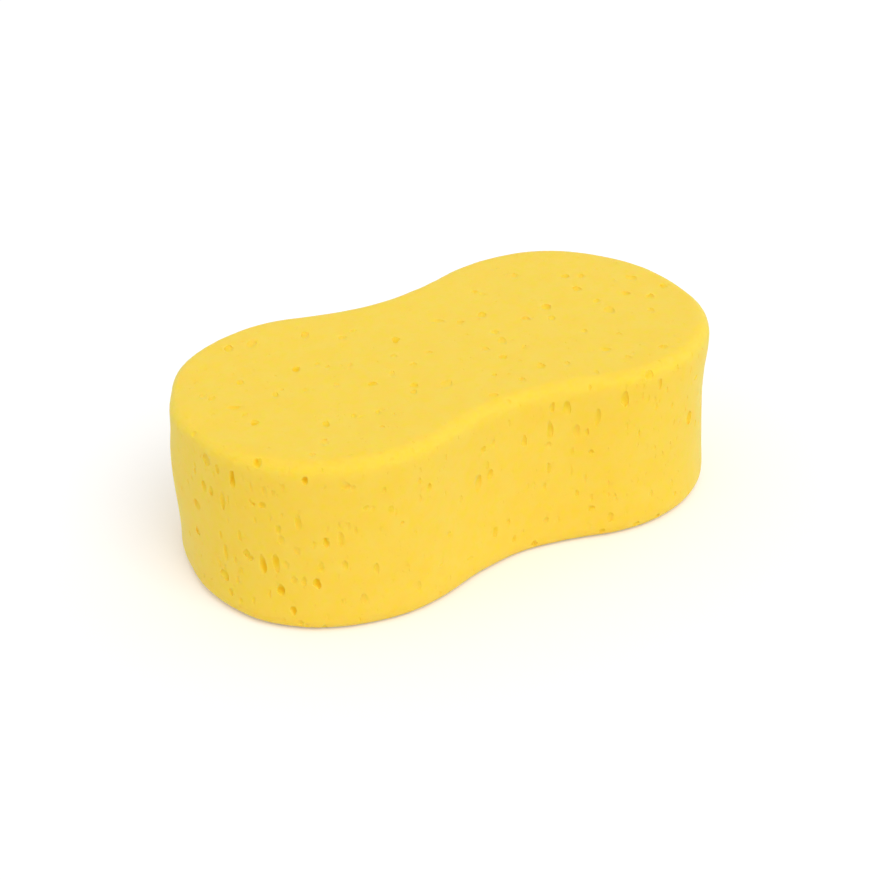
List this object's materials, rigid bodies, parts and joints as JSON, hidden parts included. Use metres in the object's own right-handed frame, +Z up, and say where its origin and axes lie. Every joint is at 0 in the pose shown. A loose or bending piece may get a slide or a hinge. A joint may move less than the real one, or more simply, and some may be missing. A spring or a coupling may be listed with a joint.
{
  "type": "sponge",
  "caption": "Yellow foam cleaning sponge in a figure-of-eight block with a waist for the hand, full of small open pores.",
  "frame": {"origin": "middle of the flat base, on the surface that the sponge stands on", "axes": "+X along the length through both lobes, +Y across the waist, +Z up through the thickness"},
  "size_m": [0.22, 0.12, 0.07],
  "materials": {
    "yellow_foam": "dull open-cell polyurethane foam, cut faces with fine cells and open pores, orange inside the pores"
  },
  "bodies": {
    "root": {"sponge_body": "yellow_foam"}
  },
  "joints": []
}
